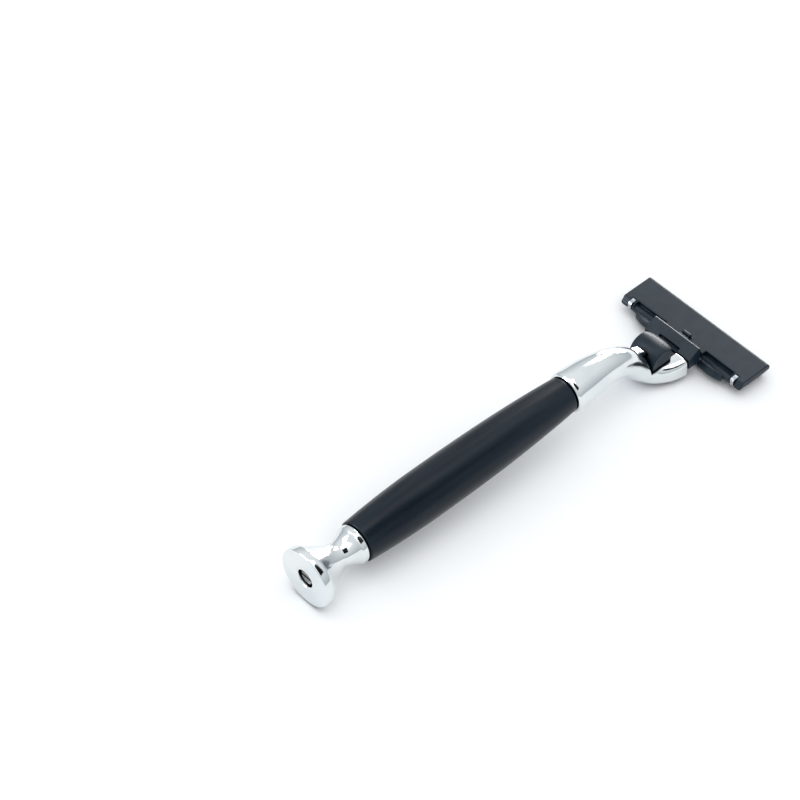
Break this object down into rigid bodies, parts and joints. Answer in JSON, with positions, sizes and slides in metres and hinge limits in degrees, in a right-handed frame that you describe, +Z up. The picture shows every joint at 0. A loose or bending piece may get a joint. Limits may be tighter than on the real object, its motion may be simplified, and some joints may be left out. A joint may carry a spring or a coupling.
{
  "type": "cartridge razor",
  "caption": "Wet razor with a turned resin grip, chrome neck and end cap, and a clip-on pivoting blade cartridge with a sliding release button.",
  "frame": {"origin": "under the middle of the razor, on the plane it lies on, back up, with the end cap's rim and the cartridge's cap touching that plane", "axes": "+X along the handle towards the blades, +Z up out of the razor's back, +Y across it"},
  "size_m": [0.138, 0.0414, 0.019],
  "materials": {
    "black_resin": "polished",
    "chrome": "mirror polished plating",
    "steel": "bright stainless",
    "aluminium": "bright rolled sheet",
    "fibre": "matte",
    "black_plastic": "satin moulded",
    "rubber": "soft matte",
    "gel": "waxy"
  },
  "bodies": {
    "handle": {"grip": "black_resin", "rear_washer": "fibre", "front_washer": "fibre", "tie_rod": "steel", "end_cap": "chrome", "cap_screw": "steel", "neck": "chrome", "nose_pin": "chrome", "nose_insert": "black_plastic", "plunger_spring": "steel", "button_spring": "steel"},
    "button": {"release_button": "black_plastic", "ejector_plate": "black_plastic"},
    "pusher": {"plunger": "black_plastic"},
    "cartridge_mount": {"connector": "black_plastic"},
    "blade_unit": {"blade_housing": "black_plastic", "guard_fins": "rubber", "lubricating_strip": "gel", "clip_left": "aluminium", "clip_right": "aluminium"},
    "blade_a": {"blade_1": "steel", "blade_support_1": "steel"},
    "blade_b": {"blade_2": "steel", "blade_support_2": "steel"},
    "blade_c": {"blade_3": "steel", "blade_support_3": "steel"}
  },
  "joints": [
    {"name": "button_slide", "type": "slide", "parent": "handle", "child": "button", "axis": [0.998, 0, 0.0626], "range_m": [0, 0.0018], "stiffness_N_per_m": 500, "springref_m": -0.002, "deforming": ["button_spring"]},
    {"name": "plunger_slide", "type": "slide", "parent": "handle", "child": "pusher", "axis": [0.998, 0, 0.0626], "range_m": [-0.0024, 0], "deforming": ["plunger_spring"]},
    {"name": "cartridge_slide", "type": "slide", "parent": "handle", "child": "cartridge_mount", "axis": [0.998, 0, 0.0626], "range_m": [0, 0.012]},
    {"name": "blade_pivot", "type": "hinge", "parent": "cartridge_mount", "child": "blade_unit", "pos_m": [0.05965, 0, 0.00257], "axis": [0, -1, 0], "range_deg": [0, 45], "stiffness_Nm_per_rad": 0.01, "springref_deg": -22.92},
    {"name": "blade_a_float", "type": "slide", "parent": "blade_unit", "child": "blade_a", "axis": [0.2371, 0, 0.9715], "range_m": [0, 0.00025], "stiffness_N_per_m": 200, "springref_m": -0.0002},
    {"name": "blade_b_float", "type": "slide", "parent": "blade_unit", "child": "blade_b", "axis": [0.2371, 0, 0.9715], "range_m": [0, 0.00025], "stiffness_N_per_m": 200, "springref_m": -0.0002},
    {"name": "blade_c_float", "type": "slide", "parent": "blade_unit", "child": "blade_c", "axis": [0.2371, 0, 0.9715], "range_m": [0, 0.00025], "stiffness_N_per_m": 200, "springref_m": -0.0002}
  ],
  "couplings": [
    {"joint": "plunger_slide", "follows": "blade_pivot", "m_per_rad": -0.00291}
  ]
}
